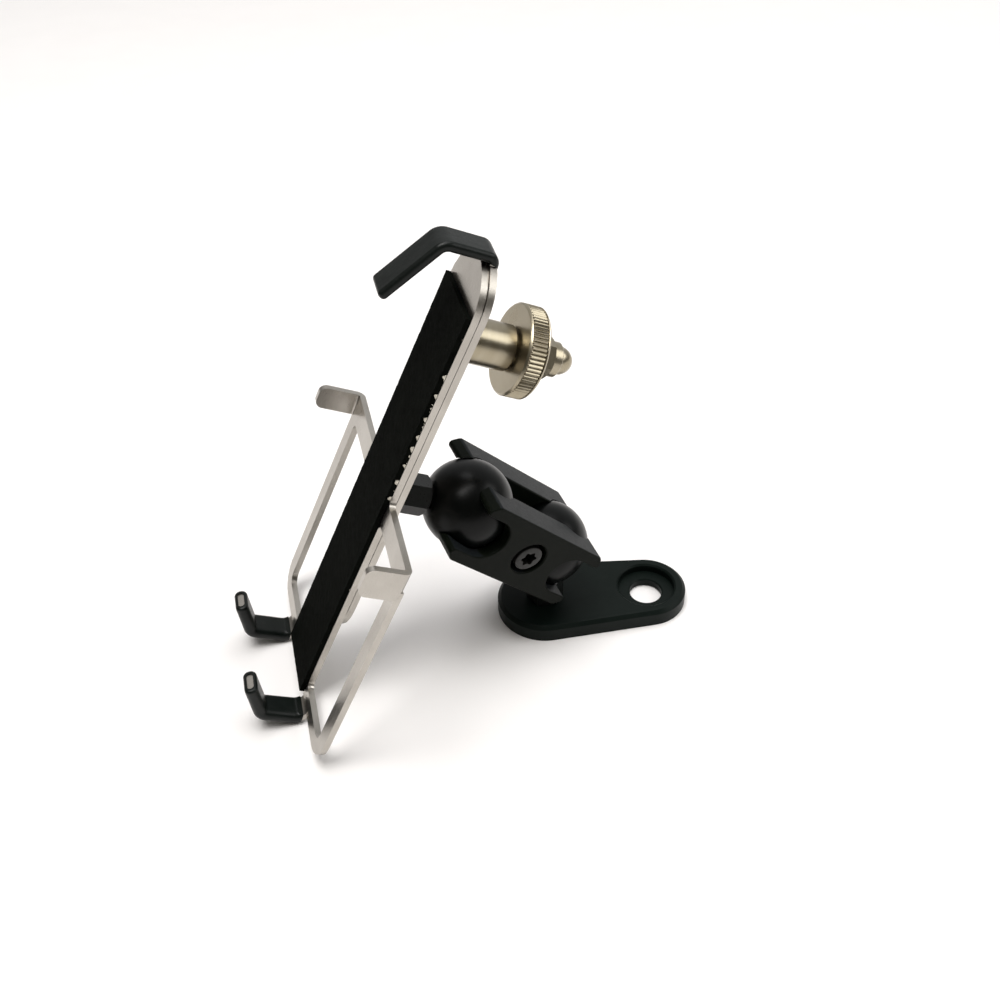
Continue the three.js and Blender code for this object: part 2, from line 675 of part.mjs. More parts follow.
function thumbNut() {
  const core = WHEEL_R - KNURL_DEPTH;
  const body = turned([
    [0, NUT_SEAT],
    [COLLAR_R - WHEEL_CHAMFER, NUT_SEAT],
    [COLLAR_R, NUT_SEAT + WHEEL_CHAMFER],
    [COLLAR_R, COLLAR_END - COLLAR_ROUND],
    [COLLAR_R - COLLAR_ROUND_MIDDLE, COLLAR_END - COLLAR_ROUND_MIDDLE],
    [NECK_R, COLLAR_END],
    [NECK_R, WHEEL_FRONT],
    [WHEEL_R - WHEEL_CHAMFER, WHEEL_FRONT],
    [WHEEL_R, WHEEL_FRONT + WHEEL_CHAMFER],
    [WHEEL_R, KNURL_START],
    [core, KNURL_START],
    [core, KNURL_END],
    [WHEEL_R, KNURL_END],
    [WHEEL_R, WHEEL_BACK - WHEEL_CHAMFER],
    [WHEEL_R - WHEEL_CHAMFER, WHEEL_BACK],
    [0, WHEEL_BACK],
  ], ALONG_X);
  return body.add(knurl()).subtract(rod(STUD_R + FIT_GAP, 0, DOME_END, ALONG_X));
}

function domeNut() {
  const hex = hexagon(DOME_HEX_FLATS, DOME_SEAT, DOME_HEX_END, ALONG_X);
  const corner = DOME_HEX_FLATS / Math.sqrt(3);
  const envelope = turned([
    [0, DOME_SEAT],
    [corner, DOME_SEAT],
    [corner, DOME_HEX_END - DOME_HEX_CHAMFER],
    [DOME_RING_R, DOME_HEX_END],
    [0, DOME_HEX_END],
  ], ALONG_X);
  const dome = [];
  const domeHeight = DOME_END - DOME_RING_END;
  for (let i = 0; i <= ARC_STEPS; i += 1) {
    const angle = (Math.PI / 2) * (i / ARC_STEPS);
    const radius = i === ARC_STEPS ? 0 : DOME_R * Math.cos(angle);
    dome.push([radius, DOME_RING_END + domeHeight * Math.sin(angle)]);
  }
  const cap = turned([
    [0, DOME_SEAT + OVERLAP],
    [DOME_RING_R, DOME_SEAT + OVERLAP],
    [DOME_RING_R, DOME_RING_END],
    ...dome,
  ], ALONG_X, SMALL_ROUND);
  return hex.intersect(envelope).add(cap).subtract(rod(STUD_R + FIT_GAP, 0, DOME_BORE_END, ALONG_X));
}

function clampStud() {
  return countersunk(STUD_HEAD_R, STUD_R, STUD_END - HEAD_SINK, STEM_SCREW_KEY, ALONG_X);
}

// ---------------------------------------------------------------- cradle

function buildCradle() {
  const group = new THREE.Group();
  const ballAxis = new THREE.Group();
  const studAxis = new THREE.Group();
  ballAxis.position.set(0, 0, STEM_Z);
  studAxis.position.set(0, 0, STUD_Z);
  const seat = SLIDER_BACK + REST_GAP;
  const stemScrew = countersunk(STEM_SCREW_HEAD_R, STEM_SCREW_R, SLIDER_BACK + STEM_BORE_END - OVERLAP,
    STEM_SCREW_KEY, ALONG_X);
  ballAxis.add(piece('front_stem', moved(stem(FRONT_REACH, ALONG_X), seat, 0, 0), BLACK_STEEL));
  ballAxis.add(piece('front_stem_screw', moved(stemScrew, HEAD_SINK, 0, 0), ZINC));
  ballAxis.add(piece('front_ball', moved(ball(ALONG_X), seat + FRONT_REACH, 0, 0), BLACK_STEEL));
  studAxis.add(piece('clamp_stud', moved(clampStud(), HEAD_SINK, 0, 0), ZINC));
  studAxis.add(piece('thumb_nut', thumbNut(), NICKEL));
  studAxis.add(piece('dome_nut', domeNut(), NICKEL));
  group.add(piece('front_plate', frontPlate(), STAINLESS));
  group.add(piece('foam_pad', foamPad(), FOAM));
  group.add(piece('lower_hook_sleeve_near', moved(lowerSleeve(), 0, -HOOK_Y, 0), VINYL));
  group.add(piece('lower_hook_sleeve_far', moved(lowerSleeve(), 0, HOOK_Y, 0), VINYL));
  group.add(piece('slider_plate', sliderPlate(), STAINLESS));
  group.add(piece('top_hook_sleeve', topSleeve(), VINYL));
  group.add(ballAxis, studAxis);
  return group;
}

// ---------------------------------------------------------------- assembly

function turn(yaw, pitch, roll) {
  return new THREE.Euler(roll * DEG, pitch * DEG, yaw * DEG, 'ZYX');
}

function buildMount() {
  const mount = new THREE.Group();
  const rearBall = new THREE.Vector3(-BASE_SPAN / 2, 0, BASE_THICKNESS + REST_GAP + BASE_REACH);
  const arm = buildArm();
  arm.rotation.copy(turn(ARM_YAW, ARM_PITCH, ARM_ROLL));
  const armReach = new THREE.Vector3(ARM_SPAN, 0, 0).applyEuler(arm.rotation);
  const frontBall = rearBall.clone().sub(armReach);
  arm.position.copy(frontBall);
  const cradle = buildCradle();
  cradle.rotation.copy(turn(CRADLE_YAW, CRADLE_LEAN, 0));
  const ballInCradle = new THREE.Vector3(SLIDER_BACK + REST_GAP + FRONT_REACH, 0, STEM_Z);
  cradle.position.copy(frontBall.clone().sub(ballInCradle.applyEuler(cradle.rotation)));
  mount.add(buildBase(), arm, cradle);
  return mount;
}

export default buildMount();
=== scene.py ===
import json
import math

import bmesh
import bpy
from mathutils import Matrix, Vector, noise

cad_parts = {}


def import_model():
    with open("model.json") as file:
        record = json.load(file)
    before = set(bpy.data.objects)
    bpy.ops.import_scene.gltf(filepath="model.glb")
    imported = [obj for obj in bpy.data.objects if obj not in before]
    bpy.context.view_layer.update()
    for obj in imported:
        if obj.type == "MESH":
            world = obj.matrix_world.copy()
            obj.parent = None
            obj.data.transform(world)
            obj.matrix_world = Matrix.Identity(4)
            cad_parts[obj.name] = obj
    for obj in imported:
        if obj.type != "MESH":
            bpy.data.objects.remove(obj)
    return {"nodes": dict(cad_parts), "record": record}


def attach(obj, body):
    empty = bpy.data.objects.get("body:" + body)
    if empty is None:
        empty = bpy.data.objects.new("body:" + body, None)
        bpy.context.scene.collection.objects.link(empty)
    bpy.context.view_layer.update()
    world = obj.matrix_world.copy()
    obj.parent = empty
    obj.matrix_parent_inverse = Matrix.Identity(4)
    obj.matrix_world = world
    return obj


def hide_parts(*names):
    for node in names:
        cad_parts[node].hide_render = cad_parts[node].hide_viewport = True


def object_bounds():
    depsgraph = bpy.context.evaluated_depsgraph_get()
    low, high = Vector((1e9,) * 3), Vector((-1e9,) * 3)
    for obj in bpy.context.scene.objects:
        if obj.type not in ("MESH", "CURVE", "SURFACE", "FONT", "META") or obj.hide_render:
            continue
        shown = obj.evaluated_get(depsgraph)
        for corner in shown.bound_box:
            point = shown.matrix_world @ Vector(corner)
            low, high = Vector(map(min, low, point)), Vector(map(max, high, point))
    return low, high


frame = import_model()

cad_low, cad_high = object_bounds()

# ---------------------------------------------------------------- dimensions, in millimetres

MM = 0.001
OVERRUN = 1.0                  # how far a cutter or a joined piece runs past the face it meets

BALL_R = 12.7
BALL_FLAT_R = 5.0
STEM_HEX = 10.0
STEM_NECK_R = 3.2
STEM_NECK = 0.9
STEM_TOP_R = 4.8
STEM_CHAMFER = 0.5
BASE_REACH = 21.8              # seat to ball centre
FRONT_REACH = 23.0
HEX_CUT = 0.5                  # how far a hexagon's turned chamfer cuts inside its corners
HEX_RISE = 0.6                 # and how far it runs along the hexagon
HEX_EDGE = 0.12

BASE_SPAN = 32.0
BASE_BALL_END_R = 14.6
BASE_BOLT_END_R = 12.3
BASE_THICKNESS = 5.6
BASE_CHAMFER = 1.1
BOLT_HOLE_R = 5.0
BOLT_SEAT_R = 8.8
BOLT_SEAT_DEPTH = 2.8
BOLT_LEAD = 0.4                # chamfer under the bolt hole
SEAT_EDGE = 0.35               # chamfer between the seat and the hole
SEAT_MOUTH = 0.5               # chamfer at the top of the seat
BASE_EDGE = 0.15

ARM_HALF_HEIGHT = 10.4
ARM_INNER = 4.9
ARM_OUTER = 14.7
ARM_SHOULDER = 5.3             # straight edge past each ball centre
ARM_TIP = 9.4                  # prong tip past each ball centre
ARM_FORK_R = 6.5
FORK_STEPS = 24
SOCKET_STEPS = 48
ARM_EDGE = 0.6
PRONG_ROUND = 1.3
SHOULDER_ROUND = 2.0
SOCKET_R = 13.0
POCKET_R = 5.5
POCKET_DEPTH = 5.3
POCKET_EDGE = 0.35
NUT_POCKET_FLATS = 8.6
NUT_POCKET_FLOOR = 9.95
SHANK_HOLE_R = 2.8
SHANK_R = 2.5
SHANK_SINK = 0.6
HEAD_R = 4.25
HEAD_LENGTH = 5.0
HEAD_EDGE = 0.5
HEAD_EASE = 0.15
KEY_R = 2.15
KEY_WAVE = 0.32
KEY_LOBES = 6
KEY_DEPTH = 2.8
REST_GAP = 0.15                # between pieces that rest on each other

SHEET = 1.8
SHEET_EDGE = 0.16
ZINC_EDGE = 0.08
NUT_EDGE = 0.15
PAD_HALF = 11.65
PAD_SHIFT = -0.4
PAD_TOP = 128.6
PAD_THICKNESS = 1.45
PAD_WAVE = 0.14                # waviness of the cut sides, of the ends and of the face
PAD_END_WAVE = 0.1
PAD_LUMP = 0.07
WAVE_LEAST = 0.02
CUT_PITCH = 1.6
PAD_EDGE = 0.01                # how far the sides lean in towards the face
TAPE_SHARE = 0.04              # share of the pad's thickness that is tape
TORN_DEPTH = 0.7               # how far into the pad a spot torn right through would reach
TORN_MOST = 0.5                # largest share of the thickness that is torn off
TORN_MIDDLE = 0.72             # where most is torn and how far that spreads, in pad lengths
TORN_SPREAD = 0.3
STEM_Z = 67.7
STRIP_HALF = 12.0
STRIP_FOOT = -1.2
FRONT_TOP = 139.6
SLIDER_FRONT = 1.95
SLIDER_BACK = 3.75
SLIDER_TOP = 140.4
SLEEVE_GAP = 0.2

HOOK_Y = 16.3
LOWER_ROUTE = [(0.9, 1.5), (0.9, -3.48), (-12.5, -3.48), (-18.4, 6.4)]
LOWER_BENDS = (4.0, 2.6)
LOWER_SLEEVE = (3.8, 8.2)      # thickness, width
LOWER_TIP_ROUND = 0.9
LOWER_ROOT = -0.9              # the skin stops here on the bend under the plate
BARE_TIP = (0.95, 2.75, 0.6)   # half height, half width and depth of the bare patch
BARE_ROUND = 0.98              # its corner radius over its half height
TOP_ROUTE = [(2.85, 137.5), (2.85, 141.3), (-10.3, 141.3), (-20.25, 124.37)]
TOP_BENDS = (1.9, 3.2)
TOP_SLEEVE = (2.7, 9.4)
TOP_TIP_ROUND = 1.1
TOP_CLEARANCE = 0.3            # between the front plate's top and the skin
SLEEVE_ROUND = 0.92            # corner radius over half the thickness
SLEEVE_LEAST_ROUND = 0.1
TIP_STEPS = 6

COLLAR_R = 6.0
COLLAR_END = 17.3
COLLAR_ROUND = 0.35
COLLAR_STEPS = 8
NECK_R = 4.4
WHEEL_FRONT = 17.9
WHEEL_BACK = 23.7
WHEEL_R = 12.0
WHEEL_CHAMFER = 0.5
WHEEL_EASE = 0.1               # softens the corner between the chamfer and the rim
WHEEL_EASE_IN = 0.12
WHEEL_EASE_OUT = 0.05
KNURL_START = 18.6
KNURL_END = 23.0
KNURL_TEETH = 66
KNURL_DEPTH = 0.45
KNURL_SHAPE = 1.5              # above 1 the grooves are narrower than the ridges
KNURL_LEAD = 0.3
KNURL_STEP = 0.02
DOME_HEX = 10.0
DOME_HEX_END = 29.0
DOME_HEX_RISE = 0.9
DOME_RING_R = 4.6
DOME_RING_END = 31.3
DOME_RING_EDGE = 0.3
DOME_R = 3.8
DOME_END = 35.7
DOME_STEPS = 16

FINE = 96                      # segments of a turned piece
CREASE = math.radians(32)      # a sharper edge than this is shaded sharp
FINE_CREASE = math.radians(28)
SKIN_CREASE = math.radians(40)
BLUNT_CREASE = math.radians(50)
WELD = 1e-7                    # metres
CAD_WELD = 2e-6
CAD_FLAT = math.radians(0.5)   # CAD facets that meet flatter than this are one face

# ---------------------------------------------------------------- frames, from the record's joints

joints = {joint["name"]: joint for joint in frame["record"]["behaviour"]["joints"]}


def place(joint):
    return Vector(joints[joint]["pos_m"])


def heading(joint):
    return Vector(joints[joint]["axis"]).normalized()


def frame_matrix(origin, x, y, z):
    turn = Matrix((x, y, z)).transposed().to_4x4()
    return Matrix.Translation(origin) @ turn @ Matrix.Scale(MM, 4)


REAR_BALL = place("base_swivel")
FRONT_BALL = place("cradle_swivel")
CRADLE_X = heading("cradle_swivel")
CRADLE_Z = heading("slider_travel")
CRADLE_Y = CRADLE_Z.cross(CRADLE_X)
ARM_Y = heading("base_tilt")
ARM_X = (REAR_BALL - FRONT_BALL).normalized()
ARM_Z = ARM_X.cross(ARM_Y)
UP = Vector((0, 0, 1))
EAST = Vector((1, 0, 0))
NORTH = Vector((0, 1, 0))

# The front of the front plate, at its lower edge, on the cradle's middle line.
SHEET_FACE = FRONT_BALL - CRADLE_X * (SLIDER_BACK + REST_GAP + FRONT_REACH) * MM
SHEET_FACE -= CRADLE_Z * STEM_Z * MM
STUD = place("thumb_nut_turn")
STUD_FOOT = STUD - CRADLE_X * (STUD - SHEET_FACE).dot(CRADLE_X)

# A frame that holds turned pieces has the axis they are turned about as its z axis.
GROUND = frame_matrix(Vector((0, 0, 0)), EAST, NORTH, UP)
REAR = frame_matrix(REAR_BALL, EAST, NORTH, UP)
FRONT = frame_matrix(FRONT_BALL, CRADLE_Y, CRADLE_Z, CRADLE_X)
STUD_FRAME = frame_matrix(STUD_FOOT, CRADLE_Y, CRADLE_Z, CRADLE_X)
CRADLE = frame_matrix(SHEET_FACE, CRADLE_X, CRADLE_Y, CRADLE_Z)
ARM = frame_matrix(FRONT_BALL, ARM_X, ARM_Y, ARM_Z)
SCREW = frame_matrix((FRONT_BALL + REAR_BALL) / 2, ARM_Z, ARM_X, ARM_Y)
ARM_SPAN = (REAR_BALL - FRONT_BALL).length / MM

# Lays an outline in a frame's x-z plane, with y as the way it is run.
SWAP_YZ = Matrix(((1, 0, 0, 0), (0, 0, 1, 0), (0, 1, 0, 0), (0, 0, 0, 1)))

# ---------------------------------------------------------------- shader helpers


def shader(name, **values):
    mat = bpy.data.materials.new(name)
    mat.use_nodes = True
    surface = mat.node_tree.nodes["Principled BSDF"]
    for socket, value in values.items():
        surface.inputs[socket.replace("_", " ")].default_value = value
    return mat, mat.node_tree, surface


def add(tree, kind, inputs=None, **settings):
    node = tree.nodes.new("ShaderNode" + kind)
    for key, value in settings.items():
        setattr(node, key, value)
    for key, value in (inputs or {}).items():
        if isinstance(value, bpy.types.NodeSocket):
            tree.links.new(value, node.inputs[key])
        else:
            node.inputs[key].default_value = value
    return node


def local(tree, matrix, stretch=(1, 1, 1)):
    """Object coordinates in millimetres along a frame's own axes, then stretched."""
    there = matrix.inverted()
    where = add(tree, "TexCoord").outputs["Object"]
    turned = add(tree, "Mapping", {
        "Vector": where,
        "Location": there.to_translation(),
        "Rotation": there.to_euler(),
        "Scale": (1 / MM, 1 / MM, 1 / MM),
    })
    return add(tree, "Mapping", {"Vector": turned.outputs[0], "Scale": stretch}).outputs[0]


def speckle(tree, vector, scale, detail=3.0, roughness=0.5):
    return add(tree, "TexNoise", {
        "Vector": vector, "Scale": scale, "Detail": detail, "Roughness": roughness,
    }).outputs["Fac"]


def ramp(tree, fac, stops):
    """Colours by position, from (position, colour) pairs; a colour of one number is a grey level."""
    node = add(tree, "ValToRGB", {"Fac": fac})
    elements = node.color_ramp.elements
    while len(elements) < len(stops):
        elements.new(0.5)
    for element, (position, colour) in zip(elements, stops):
        element.position = position
        element.color = (*colour, 1) if len(colour) == 3 else (colour[0],) * 3 + (1,)
    return node.outputs["Color"]


def relief(tree, height, strength, distance, normal=None):
    """Bump of the given height in millimetres, over another bump's normal if one is given."""
    inputs = {"Height": height, "Strength": strength, "Distance": distance * MM}
    if normal is not None:
        inputs["Normal"] = normal
    return add(tree, "Bump", inputs).outputs["Normal"]


def feed(tree, surface, **sockets):
    """Link outputs to the surface's sockets, named with _ for each space."""
    for socket, output in sockets.items():
        tree.links.new(output, surface.inputs[socket.replace("_", " ")])


# ---------------------------------------------------------------- materials


def brushed_sheet(name):
    mat, tree, surface = shader(name, Metallic=1.0)
    grain = speckle(tree, local(tree, CRADLE, (9, 9, 0.35)), 1.0, 4.0, 0.6)
    cloud = speckle(tree, local(tree, CRADLE), 0.07, 3.0, 0.6)
    fine = speckle(tree, local(tree, CRADLE, (30, 30, 2.2)), 1.0, 2.0)
    tint = ramp(tree, cloud, [(0.3, (0.39, 0.365, 0.33)), (0.7, (0.48, 0.455, 0.415))])
    gloss = ramp(tree, grain, [(0.25, (0.24,)), (0.75, (0.36,))])
    scratches = relief(tree, fine, 0.18, 0.02)
    brushed = relief(tree, grain, 0.12, 0.05, scratches)
    feed(tree, surface, Base_Color=tint, Roughness=gloss, Normal=brushed)
    return mat


def turned_nickel(name):
    mat, tree, surface = shader(name, Metallic=1.0)
    where = local(tree, STUD_FRAME, (1, 1, 3))
    stain = speckle(tree, where, 0.12, 2.0, 0.5)
    tint = ramp(tree, stain, [(0.3, (0.32, 0.28, 0.20)), (0.72, (0.375, 0.335, 0.255))])
    gloss = ramp(tree, stain, [(0.3, (0.27,)), (0.7, (0.30,))])
    feed(tree, surface, Base_Color=tint, Roughness=gloss)
    return mat


def black_finish(name, frame_of, dark, light, gloss, grain, depth, specular,
                 metallic=0.0, spread=0.03, painted_sheen=None):
    """Dark oxide or anodising: mottled tone, uneven gloss and a fine blasted or cast grain.

    spread is how far the roughness strays from gloss. The last argument is (direction, tone) for a
    painted sheen: a paler tone painted on the faces that look that way, as light falling on them.
    """
    mat, tree, surface = shader(name, Metallic=metallic, Specular_IOR_Level=specular)
    where = local(tree, frame_of)
    cloud = speckle(tree, where, 0.12, 3.0, 0.6)
    dust = speckle(tree, where, 1.1, 2.0, 0.7)
    if painted_sheen is None:
        tint = ramp(tree, cloud, [(0.3, dark), (0.7, light)])
    else:
        # Painted sheen: faces turned towards the given direction get a paler tone, standing in for light
        # falling on them.
        side, sheen_tone = painted_sheen
        normal = add(tree, "TexCoord").outputs["Normal"]
        facing = add(tree, "VectorMath", {0: normal, 1: side}, operation="DOT_PRODUCT")
        sheen_cover = ramp(tree, facing.outputs["Value"], [(0.7, (0.0,)), (0.95, (0.5,))])
        level = add(tree, "Math", {0: cloud, 1: sheen_cover}, operation="ADD").outputs["Value"]
        tint = ramp(tree, level, [(0.3, dark), (0.7, light), (0.8, sheen_tone)])
    shine = ramp(tree, dust, [(0.3, (gloss - spread,)), (0.7, (gloss + spread,))])
    bumps = relief(tree, speckle(tree, where, grain, 2.0, 0.6), 0.3, depth)
    feed(tree, surface, Base_Color=tint, Roughness=shine, Normal=bumps)
    return mat


def cell_foam(name):
    mat, tree, surface = shader(name, Specular_IOR_Level=0.02)
    where = local(tree, CRADLE)
    voronoi = add(tree, "TexVoronoi", {"Vector": where, "Scale": 2.6, "Randomness": 1.0})
    cells = voronoi.outputs["Distance"]
    dust = speckle(tree, where, 0.35, 5.0, 0.7)
    fuzz = speckle(tree, where, 5.5, 3.0, 0.7)
    tint = ramp(tree, dust, [(0.3, (0.0015, 0.0018, 0.0013)), (0.75, (0.0046, 0.0054, 0.0042))])
    shine = ramp(tree, fuzz, [(0.2, (0.75,)), (0.8, (0.98,))])
    pores = relief(tree, cells, 0.5, 0.12)
    rough = relief(tree, fuzz, 0.45, 0.12, pores)
    feed(tree, surface, Base_Color=tint, Roughness=shine, Normal=rough)
    return mat


def tape_backing(name):
    mat, tree, surface = shader(name, Specular_IOR_Level=0.3)
    fibres = speckle(tree, local(tree, CRADLE), 1.3, 3.0, 0.7)
    tint = ramp(tree, fibres, [(0.3, (0.50, 0.46, 0.38)), (0.7, (0.80, 0.76, 0.66))])
    shine = ramp(tree, fibres, [(0.3, (0.5,)), (0.7, (0.7,))])
    feed(tree, surface, Base_Color=tint, Roughness=shine)
    return mat


def dipped_vinyl(name):
    mat, tree, surface = shader(name, Specular_IOR_Level=0.22)
    where = local(tree, CRADLE)
    flow = speckle(tree, where, 0.22, 2.0)
    skin = speckle(tree, where, 2.4, 3.0, 0.6)
    tint = ramp(tree, flow, [(0.3, (0.002, 0.0036, 0.0029)), (0.7, (0.0036, 0.0056, 0.0046))])
    shine = ramp(tree, skin, [(0.3, (0.30,)), (0.7, (0.42,))])
    soft = relief(tree, flow, 0.25, 0.5)
    uneven = relief(tree, skin, 0.15, 0.06, soft)
    feed(tree, surface, Base_Color=tint, Roughness=shine, Normal=uneven)
    return mat


def plain_zinc(name):
    mat, tree, surface = shader(name, Metallic=1.0)
    where = local(tree, GROUND)
    cloud = speckle(tree, where, 0.5, 3.0)
    dust = speckle(tree, where, 1.5, 2.0)
    tint = ramp(tree, cloud, [(0.3, (0.42, 0.43, 0.45)), (0.7, (0.58, 0.59, 0.60))])
    shine = ramp(tree, dust, [(0.3, (0.32,)), (0.7, (0.46,))])
    plated = relief(tree, speckle(tree, where, 6.0), 0.15, 0.03)
    feed(tree, surface, Base_Color=tint, Roughness=shine, Normal=plated)
    return mat


STAINLESS = brushed_sheet("stainless_brushed")
NICKEL = turned_nickel("nickel_turned")
ZINC = plain_zinc("zinc_plated")
BALL_BLACK = black_finish(
    "ball_black_oxide", REAR, dark=(0.001, 0.0014, 0.0013), light=(0.002, 0.0025, 0.0023),
    gloss=0.30, grain=5.0, depth=0.0002, specular=0.14, spread=0.005,
)
STEM_BLACK = black_finish(
    "stem_black_oxide", FRONT, dark=(0.004, 0.005, 0.0045), light=(0.008, 0.009, 0.0085),
    gloss=0.30, grain=3.0, depth=0.006, specular=0.3,
)
# The arm's top faces carry a painted sheen, a paler tone that stands in for light on them.
ARM_BLACK = black_finish(
    "arm_black_anodised", ARM, dark=(0.0022, 0.0034, 0.002), light=(0.0042, 0.0056, 0.0036),
    gloss=0.42, grain=7.0, depth=0.03, specular=0.05, painted_sheen=(ARM_Z, (0.0105, 0.0125, 0.0135)),
)
BASE_BLACK = black_finish(
    "base_black_anodised", GROUND, dark=(0.0025, 0.0055, 0.0042), light=(0.0048, 0.0082, 0.0066),
    gloss=0.42, grain=7.0, depth=0.02, specular=0.1,
)
SCREW_BLACK = black_finish(
    "screw_black_oxide", SCREW, dark=(0.008, 0.008, 0.0072), light=(0.015, 0.0145, 0.013),
    gloss=0.38, grain=4.0, depth=0.02, specular=0.3, metallic=0.2,
)
FOAM = cell_foam("foam_closed_cell")
TAPE = tape_backing("tape_backing")
VINYL = dipped_vinyl("vinyl_dipped")

# ---------------------------------------------------------------- mesh helpers


def lathe(profile, matrix, segments=FINE, teeth=0, depth=0.0):
    """Turned body from (radius, station) pairs; a pair with a third value is cut with teeth."""
    bm = bmesh.new()
    rings = []
    for radius, station, *knurled in profile:
        if radius == 0:
            rings.append([bm.verts.new(matrix @ Vector((0, 0, station)))])
            continue
        ring = []
        for i in range(segments):
            angle = math.tau * i / segments
            r = radius
            if knurled:
                r -= depth * abs(2 * ((angle * teeth / math.tau) % 1) - 1) ** KNURL_SHAPE
            ring.append(bm.verts.new(matrix @ Vector((r * math.cos(angle), r * math.sin(angle), station))))
        rings.append(ring)
    for low, high in zip(rings, rings[1:]):
        a, b = len(low), len(high)
        for i in range(max(a, b)):
            k = i + 1
            unique = list(dict.fromkeys((low[i % a], low[k % a], high[k % b], high[i % b])))
            if len(unique) > 2:
                bm.faces.new(unique)
    bmesh.ops.recalc_face_normals(bm, faces=bm.faces)
    return bm


def prism(outline, start, end, matrix):
    """Closed outline of (x, y) pairs, run along the frame's z axis."""
    bm = bmesh.new()
    low = [bm.verts.new(matrix @ Vector((x, y, start))) for x, y in outline]
    high = [bm.verts.new(matrix @ Vector((x, y, end))) for x, y in outline]
    bm.faces.new(reversed(low))
    bm.faces.new(high)
    for i in range(len(outline)):
        k = (i + 1) % len(outline)
        bm.faces.new((low[i], low[k], high[k], high[i]))
    bmesh.ops.recalc_face_normals(bm, faces=bm.faces)
    return bm


def hexagon(flats):
    radius = flats / math.sqrt(3)
    return [(radius * math.cos(math.tau * i / 6), radius * math.sin(math.tau * i / 6)) for i in range(6)]


def arc(x, y, radius, start, end, steps):
    turns = [start + (end - start) * i / steps for i in range(steps + 1)]
    return [(x + radius * math.cos(a), y + radius * math.sin(a)) for a in turns]


def soften(bm, width, segments=2, angle=CREASE):
    """Round the edges that are sharper than the angle."""
    edges = [e for e in bm.edges if len(e.link_faces) == 2 and e.calc_face_angle(0) > angle]
    bmesh.ops.bevel(
        bm, geom=edges, offset=width * MM, segments=segments, profile=0.5,
        affect="EDGES", clamp_overlap=True,
    )


def temporary(bm):
    mesh = bpy.data.meshes.new("temporary")
    bm.to_mesh(mesh)
    bm.free()
    obj = bpy.data.objects.new("temporary", mesh)
    bpy.context.scene.collection.objects.link(obj)
    return obj


def combined(bm, other, operation):
    """Exact boolean of two closed meshes; both inputs are used up."""
    body, tool = temporary(bm), temporary(other)
    cut = body.modifiers.new("cut", "BOOLEAN")
    cut.operation = operation
    cut.object = tool
    cut.solver = "EXACT"
    evaluated = body.evaluated_get(bpy.context.evaluated_depsgraph_get())
    made = bmesh.new()
    made.from_mesh(evaluated.to_mesh())
    evaluated.to_mesh_clear()
    for obj in (body, tool):
        mesh = obj.data
        bpy.data.objects.remove(obj)
        bpy.data.meshes.remove(mesh)
    bmesh.ops.remove_doubles(made, verts=made.verts, dist=WELD)
    return made


def piece(name, bm, material, body, node, crease=CREASE):
    """Finish a mesh as a named piece that rides on a body and stands for a CAD node."""
    bmesh.ops.recalc_face_normals(bm, faces=bm.faces)
    for face in bm.faces:
        face.smooth = True
    for edge in bm.edges:
        edge.smooth = len(edge.link_faces) == 2 and edge.calc_face_angle(0) < crease
    mesh = bpy.data.meshes.new(name)
    bm.to_mesh(mesh)
    bm.free()
    mesh.materials.append(material)
    obj = bpy.data.objects.new(name, mesh)
    bpy.context.scene.collection.objects.link(obj)
    weighted = obj.modifiers.new("weighted", "WEIGHTED_NORMAL")
    weighted.keep_sharp = True
    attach(obj, body)
    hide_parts(node)
    return obj


def refined(node, material, body, width):
    """A CAD node's own shape with its edges broken."""
    bm = bmesh.new()
    bm.from_mesh(frame["nodes"][node].data)
    bmesh.ops.remove_doubles(bm, verts=bm.verts, dist=CAD_WELD)
    bmesh.ops.dissolve_limit(bm, angle_limit=CAD_FLAT, verts=bm.verts, edges=bm.edges)
    soften(bm, width)
    piece(node + "_detail", bm, material, body, node)


# ---------------------------------------------------------------- balls and stems

BALL_FLAT = math.sqrt(BALL_R ** 2 - BALL_FLAT_R ** 2)
POLE = math.asin(BALL_FLAT_R / BALL_R)
BALL_RINGS = 56


def ball(name, matrix, body):
    profile = [(0, -BALL_FLAT), (BALL_FLAT_R, -BALL_FLAT)]
    for i in range(1, BALL_RINGS):
        angle = POLE + (math.pi - POLE) * i / BALL_RINGS
        profile.append((BALL_R * math.sin(angle), -BALL_R * math.cos(angle)))
    profile.append((0, BALL_R))
    piece(name + "_smooth", lathe(profile, matrix), BALL_BLACK, body, name)


def stem(name, reach, matrix, body):
    end = -BALL_FLAT - STEM_NECK
    corner = STEM_HEX / math.sqrt(3)
    outside = corner + OVERRUN
    envelope = [
        (0, -reach), (corner - HEX_CUT, -reach), (outside, -reach + HEX_RISE),
        (outside, end - STEM_CHAMFER - OVERRUN), (STEM_TOP_R, end), (0, end),
    ]
    hexed = prism(hexagon(STEM_HEX), -reach, end, matrix)
    hexed = combined(hexed, lathe(envelope, matrix), "INTERSECT")
    soften(hexed, HEX_EDGE)
    root = end - OVERRUN
    neck = lathe([
        (0, root), (STEM_NECK_R, root), (STEM_NECK_R, -BALL_FLAT), (0, -BALL_FLAT),
    ], matrix)
    piece(name + "_hex", combined(hexed, neck, "UNION"), STEM_BLACK, body, name)


ball("base_ball", REAR, "base_ball")
ball("front_ball", FRONT, "front_ball")
stem("base_stem", BASE_REACH, REAR, "base")
stem("front_stem", FRONT_REACH, FRONT, "cradle")

# ---------------------------------------------------------------- base plate


